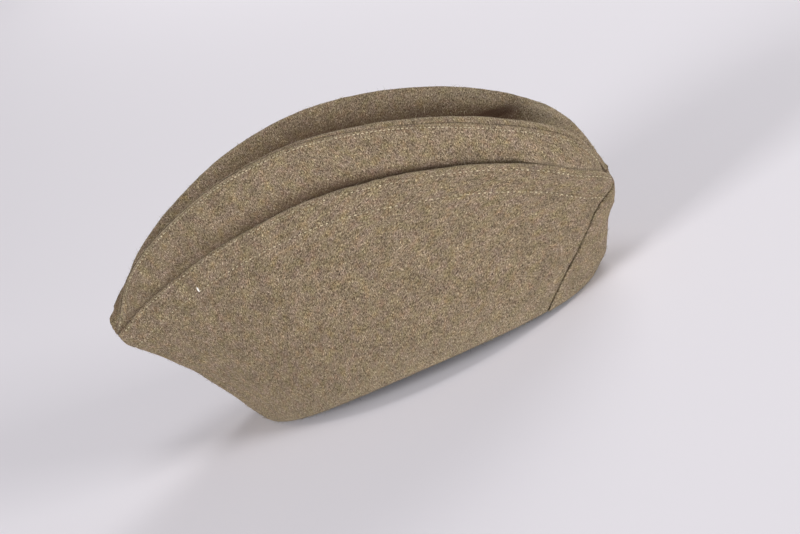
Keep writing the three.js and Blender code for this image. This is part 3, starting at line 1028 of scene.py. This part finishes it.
# Nap: the loose ends of wool that stand off the cloth, denser on its folds
napFibre = {
    "density": 0.36,
    "edge": 2.6,
    "long": 2.4,
    "thick": 0.15,
    "press": 0.3,  # below this height an end bends and lies along the floor
    "bend": (0.3, 0.42),  # how far the tip curves to the sides, and how deep the root is, in lengths
    "root": 0.05,
    "lean": (1.0, 1.52),  # from the cloth's normal
    "girth": (0.7, 1.3),
    "shortest": 0.45,
    "longer": 1.5,
    "tones": [  # (name, share of the fibres, colour)
        ("olive", 0.34, (0.26, 0.215, 0.132)),
        ("straw", 0.26, (0.46, 0.385, 0.26)),
        ("brown", 0.22, (0.12, 0.088, 0.058)),
        ("grey", 0.13, (0.34, 0.29, 0.235)),
        ("rust", 0.05, (0.27, 0.19, 0.115)),
    ],
}


def napTree():
    labels = [(label, "NodeSocketFloat") for label in ("Density", "Edge", "Long", "Thick")]
    tree, given = newTree("nap", labels + [("Seed", "NodeSocketInt")])

    def random(low, high, offset):
        seed = maths(tree, "ADD", given["Seed"], float(offset))
        limits = [(2, low), (3, high), ("Seed", seed)]
        return addNode(tree, "FunctionNodeRandomValue", limits, data_type="FLOAT").outputs[1]

    crowd = maths(tree, "ADD", 1.0, times(tree, attributeOf(tree, "wear"), given["Edge"]))
    crowd = times(tree, times(tree, crowd, attributeOf(tree, "nap")), given["Density"])
    links = [("Mesh", given["Geometry"]), ("Density", crowd), ("Seed", given["Seed"])]
    spots = addNode(tree, "GeometryNodeDistributePointsOnFaces", links, distribute_method="RANDOM")
    links = [("Vertices", 3), ("Side Segments", 2), ("Radius Top", 0.0)]
    links += [("Radius Bottom", times(tree, given["Thick"], 0.5)), ("Depth", given["Long"])]
    spike = addNode(tree, "GeometryNodeMeshCone", links, fill_type="NGON")
    share = maths(tree, "DIVIDE", positionOf(tree)["Z"], given["Long"])
    curve = times(tree, times(tree, share, share), given["Long"])
    sideways = [times(tree, curve, reach) for reach in napFibre["bend"]]
    offset = vector(tree, *sideways, times(tree, given["Long"], -napFibre["root"]))
    bent = addNode(tree, "GeometryNodeSetPosition", [("Geometry", spike), ("Offset", offset)])
    lean = vector(tree, 0.0, random(*napFibre["lean"], 1), random(0.0, 2 * math.pi, 2))
    turn = addNode(tree, "FunctionNodeEulerToRotation", [("Euler", lean)])
    links = [("Rotation", spots.outputs["Rotation"]), ("Rotate By", turn)]
    laid = addNode(tree, "FunctionNodeRotateRotation", links, rotation_space="LOCAL")
    uneven = maths(tree, "POWER", random(0.0, 1.0, 3), 3.0)
    stretch = maths(tree, "ADD", napFibre["shortest"], times(tree, uneven, napFibre["longer"]))
    girth = random(*napFibre["girth"], 4)
    links = [("Points", spots), ("Instance", bent), ("Rotation", laid)]
    links.append(("Scale", vector(tree, girth, girth, stretch)))
    copies = addNode(tree, "GeometryNodeInstanceOnPoints", links)
    links = [("Geometry", copies), ("Name", "tone"), ("Value", random(0.0, 1.0, 5))]
    toned = addNode(tree, "GeometryNodeStoreNamedAttribute", links, data_type="FLOAT", domain="INSTANCE")
    geometry = addNode(tree, "GeometryNodeRealizeInstances", [(0, toned)])
    below = 0.0
    for name, share, colour in napFibre["tones"]:
        links = [(0, attributeOf(tree, "tone")), (1, below)]
        above = addNode(tree, "FunctionNodeCompare", links, data_type="FLOAT", operation="GREATER_EQUAL")
        links = [("Geometry", geometry), ("Selection", above)]
        links.append(("Material", plainMaterial(name + "Fibre", colour, 0.85)))
        geometry = addNode(tree, "GeometryNodeSetMaterial", links)
        below += share
    addNode(tree, "NodeGroupOutput", [("Geometry", geometry)])
    return tree


def layOnFloor(piece):
    # ends that would reach through the floor bend and lie along it
    mesh = piece.data
    places = np.empty(len(mesh.vertices) * 3)
    mesh.vertices.foreach_get("co", places)
    press = napFibre["press"] * mm
    height = places[2::3]
    bent = press / (1 + (press - np.minimum(height, press)) / press)
    places[2::3] = np.where(height < press, bent, height)
    mesh.vertices.foreach_set("co", places)
    mesh.update()


def makeNap():
    tree = napTree()
    fibres = {}
    for seed, cloth in enumerate((curtainRight, curtainLeft, crownSideRight, crownSideLeft, crownTopPiece)):
        name = cloth.name + "Nap"
        fibres[name] = grow(
            name,
            cloth.data,
            tree,
            Density=napFibre["density"] / mm**2,
            Edge=napFibre["edge"],
            Long=napFibre["long"] * mm,
            Thick=napFibre["thick"] * mm,
            Seed=seed + 3,
        )
        layOnFloor(fibres[name])
    return fibres


fibres = makeNap()
stitches = makeStitches()

# A scrap of white lint caught on the right curtain
lint = {
    "around": 0.2765,
    "up": 0.72,
    "thick": 0.62,
    "long": 3.0,
    "swell": (0.5, 1.0, 1.5, 1.7, 1.5, 1.0, 0.6),  # its thickness from end to end
    "colour": (0.86, 0.83, 0.78),
    "fluff": 3000.0,
    "bump": (1.0, 0.0002),
}


def makeLint():
    count = len(lint["swell"])
    up = np.full(count, lint["up"])
    at = lint["around"] + 0 * up
    out = outward(at, up)[0]
    across = unit(np.cross(out, [0.0, 0.0, 1.0]))
    climb = np.cross(across, out)
    t = np.linspace(-0.5, 0.5, count)[:, None]
    middle = place(at, up, 0 * at)[0]
    lay = across * (t * lint["long"] * 0.23) + climb * (t * lint["long"] * 0.97 - 0.9 * t**2)
    lay = lay + out * (0.55 - 0.8 * t**2)
    line = bpy.data.curves.new("lintScrap", "CURVE")
    line.dimensions = "3D"
    line.bevel_depth = lint["thick"] / 2 * mm
    line.bevel_resolution = 2
    line.use_fill_caps = True
    spline = line.splines.new("POLY")
    spline.points.add(count - 1)
    for point, spot, wide in zip(spline.points, toScene(middle + lay), lint["swell"]):
        point.co = (*spot, 1)
        point.radius = wide
    shape = addObject("lintScrap", line)
    mesh = finishedMesh(shape)
    bpy.data.objects.remove(shape)
    piece = addObject("lintScrap", mesh)
    material = plainMaterial("lintCotton", lint["colour"], 0.9)
    tree = material.node_tree
    spots = addNode(tree, "ShaderNodeTexCoord").outputs["Object"]
    bump = bumpNode(tree, noiseNode(tree, spots, lint["fluff"], flat=False), *lint["bump"])
    tree.links.new(bump.outputs[0], tree.nodes["Principled BSDF"].inputs["Normal"])
    mesh.materials.append(material)
    print(f"lintScrap: {len(mesh.polygons)} faces")
    return piece


lintScrap = makeLint()
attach(lintScrap, "root")

curtainRows = [("curtainEdgeStitch" + side, "curtainHemStitch" + side) for side in ("Right", "Left")]

# the piece, its node, the turn of its fibres and how bright it is, its flat size and area in metres,
# how its cloth is held, and its rows of stitches
for piece, node, turn, bright, flat, area, held, rows in (
    (curtainRight, "curtain_right", 0.25, 1.0, (0.115, 0.34), 0.0265, "folded", curtainRows[0]),
    (curtainLeft, "curtain_left", 0.1, 1.0, (0.115, 0.36), 0.028, "folded", curtainRows[1]),
    (crownSideRight, "crown_side_right", 0.35, 1.0, (0.148, 0.33), 0.034, "stretched", ("ridgeStitchRight",)),
    (crownSideLeft, "crown_side_left", 0.35, 1.0, (0.148, 0.33), 0.034, "stretched", ("ridgeStitchLeft",)),
    # the crown top's wool is made a little darker, partly as painted shade for its valley
    (crownTopPiece, "crown_top", 1.2, 0.96, (0.1, 0.345), 0.021, "stretched", ()),
):
    piece.data.materials.append(woolMaterial(piece.name + "Wool", turn, bright))
    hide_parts(node)
    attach(piece, "root")
    carried = [fibres[piece.name + "Nap"]] + [stitches[name] for name in rows]
    for part in carried:
        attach(part, "root")


# Floor, light and camera

studio = {
    "floor": 14.0,
    "floorColour": (0.755, 0.726, 0.769),
    "glow": (0.98, 0.955, 1.0),
    "glowStrength": 0.03,
    "world": (0.94, 0.93, 0.97),
    "worldStrength": 0.16,
}
lamps = [
    {"name": "frontBox", "at": (2.7, -1.32, 0.42), "size": 1.2, "power": 114.0, "aim": (0.0, 0.0, 0.06)},
    {"name": "rearBox", "at": (-2.3, -2.05, 0.85), "size": 1.3, "power": 95.0, "aim": (0.0, 0.0, 0.06)},
    {"name": "topBox", "at": (0.4, 0.0, 2.3), "size": 1.2, "power": 11.0, "aim": (0.0, 0.0, 0.0)},
    {"name": "floorBox", "at": (1.1, 3.1, 1.3), "size": 1.8, "power": 86.0, "aim": (1.1, 2.6, 0.0)},
]
eye = {
    "azimuth": 9.8,
    "elevation": 16.5,
    "roll": 26.7,
    "distance": 1.3,
    "lens": 104.46,
    "sensor": 36.0,
    "aim": (0.0173, 0.0, 0.045),
}


def makeStudio():
    half = studio["floor"] / 2
    mesh = bpy.data.meshes.new("floor")
    corners = [(-half, -half, 0), (half, -half, 0), (half, half, 0), (-half, half, 0)]
    mesh.from_pydata(corners, [], [(0, 1, 2, 3)])
    paper = plainMaterial("floorPaper", studio["floorColour"], 0.9)
    shader = paper.node_tree.nodes["Principled BSDF"]
    shader.inputs["Emission Color"].default_value = (*studio["glow"], 1)
    shader.inputs["Emission Strength"].default_value = studio["glowStrength"]
    mesh.materials.append(paper)
    floor = addObject("floor", mesh)
    floor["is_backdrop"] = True
    world = bpy.data.worlds.new("studio")
    world.use_nodes = True
    sky = world.node_tree.nodes["Background"]
    sky.inputs["Color"].default_value = (*studio["world"], 1)
    sky.inputs["Strength"].default_value = studio["worldStrength"]
    bpy.context.scene.world = world
    for lamp in lamps:
        light = bpy.data.lights.new(lamp["name"], "AREA")
        light.size = lamp["size"]
        light.energy = lamp["power"]
        body = addObject(lamp["name"], light)
        body.location = lamp["at"]
        body.rotation_euler = (Vector(lamp["aim"]) - body.location).to_track_quat("-Z", "Y").to_euler()


def makeCamera():
    azimuth, elevation, roll = (math.radians(eye[key]) for key in ("azimuth", "elevation", "roll"))
    flat = math.cos(elevation)
    back = Vector((math.sin(azimuth) * flat, -math.cos(azimuth) * flat, math.sin(elevation)))
    right = Vector((math.cos(azimuth), math.sin(azimuth), 0))
    above = back.cross(right)
    level = right * math.cos(roll) - above * math.sin(roll)
    upright = right * math.sin(roll) + above * math.cos(roll)
    data = bpy.data.cameras.new("camera")
    data.lens = eye["lens"]
    data.sensor_width = eye["sensor"]
    camera = addObject("camera", data)
    turned = Matrix((level, upright, back)).transposed().to_4x4()
    camera.matrix_world = Matrix.Translation(Vector(eye["aim"]) + back * eye["distance"]) @ turned
    bpy.context.scene.camera = camera


makeStudio()
makeCamera()
print("floor, lamps and camera placed")
bpy.context.scene.view_settings.view_transform = "Standard"

sizes = {"cad": [list(corner) for corner in cadBox], "visual": [list(corner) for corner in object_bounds()]}
